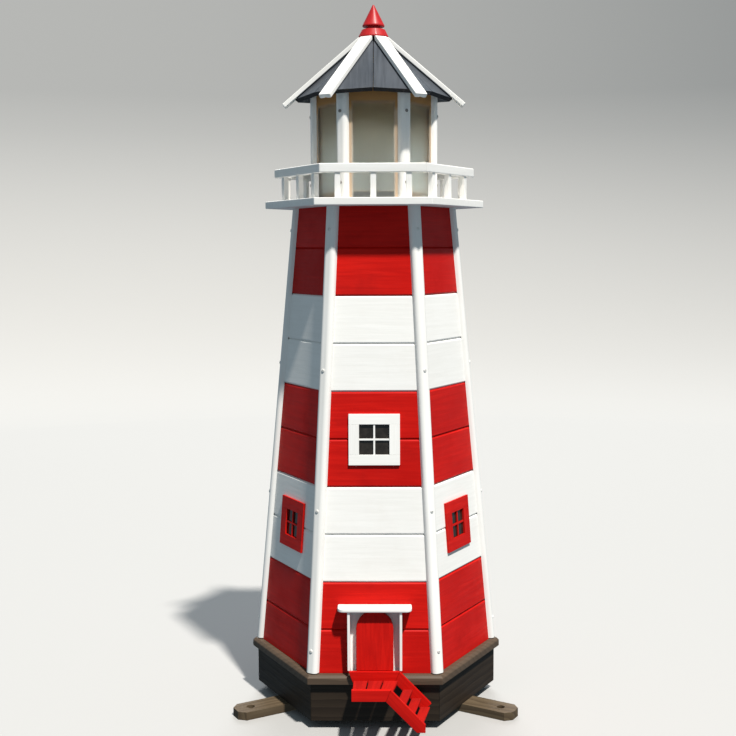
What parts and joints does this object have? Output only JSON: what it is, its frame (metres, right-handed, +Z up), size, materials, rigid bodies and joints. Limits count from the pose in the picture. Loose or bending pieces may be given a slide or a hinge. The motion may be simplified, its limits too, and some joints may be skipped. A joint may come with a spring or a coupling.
{
  "type": "garden lighthouse ornament",
  "caption": "Six-sided wooden garden lighthouse with banded tower, porch and stair, railed balcony, lamp lantern and a lift-off pyramid roof with finial.",
  "frame": {"origin": "on the ground, on the tower's axis, at the centre of the three anchor holes", "axes": "+Z up along the tower's axis, -Y towards the front face with the door, +X towards the side that the stair runs down to"},
  "size_m": [0.5628, 0.6414, 1.3999],
  "materials": {
    "white_paint": "satin paint",
    "red_paint": "gloss paint",
    "plinth_brown": "dark stain",
    "slab_brown": "weathered stain",
    "lug_brown": "weathered stain",
    "bare_wood": "planed",
    "roof_grey": "satin paint",
    "finial_red": "gloss paint",
    "window_glass": "tinted",
    "lantern_glass": "translucent",
    "screw_steel": "brushed",
    "black_plastic": "matt",
    "bulb_glass": "frosted"
  },
  "bodies": {
    "tower": {"anchor_lug_front_left": "lug_brown", "anchor_lug_front_right": "lug_brown", "anchor_lug_rear": "lug_brown", "anchor_lug_screws": "screw_steel", "plinth_boards": "plinth_brown", "base_slab": "slab_brown", "cable_gland": "black_plastic", "tower_corner_posts": "bare_wood", "tower_ring_bottom": "bare_wood", "tower_ring_top": "bare_wood", "cover_course_01": "red_paint", "cover_course_02": "red_paint", "cover_course_03": "white_paint", "cover_course_04": "white_paint", "cover_course_05": "red_paint", "cover_course_06": "red_paint", "cover_course_07": "white_paint", "cover_course_08": "white_paint", "cover_course_09": "red_paint", "cover_course_10": "red_paint", "corner_batten_front_left": "white_paint", "corner_batten_front_right": "white_paint", "corner_batten_right": "white_paint", "corner_batten_rear_right": "white_paint", "corner_batten_rear_left": "white_paint", "corner_batten_left": "white_paint", "corner_batten_screws": "screw_steel", "window_frames_white": "white_paint", "window_frames_red": "red_paint", "window_muntins_white": "white_paint", "window_muntins_red": "red_paint", "window_panes": "window_glass", "door_back_panel": "white_paint", "door": "red_paint", "porch_side_left": "white_paint", "porch_side_right": "white_paint", "porch_canopy": "white_paint", "stair_back_side": "red_paint", "stair_front_side": "red_paint", "landing_planks": "red_paint", "stair_treads": "red_paint", "balcony_deck": "white_paint", "balcony_balusters": "white_paint", "balcony_handrail": "white_paint", "lantern_sill_ring": "bare_wood", "lantern_top_ring": "bare_wood", "lantern_corner_posts": "bare_wood", "lantern_panes": "lantern_glass", "lantern_cover_strips": "white_paint", "lantern_screws": "screw_steel", "lamp_holder": "black_plastic", "lamp_bulb": "bulb_glass"},
    "roof": {"roof_boards": "roof_grey", "hip_battens": "white_paint", "roof_rest_ring": "bare_wood", "roof_locating_blocks": "bare_wood", "roof_king_block": "bare_wood", "finial": "finial_red", "finial_screw": "screw_steel"}
  },
  "joints": [
    {"name": "roof_lift", "type": "slide", "parent": "tower", "child": "roof", "axis": [0, 0, 1], "range_m": [0, 0.25]}
  ]
}
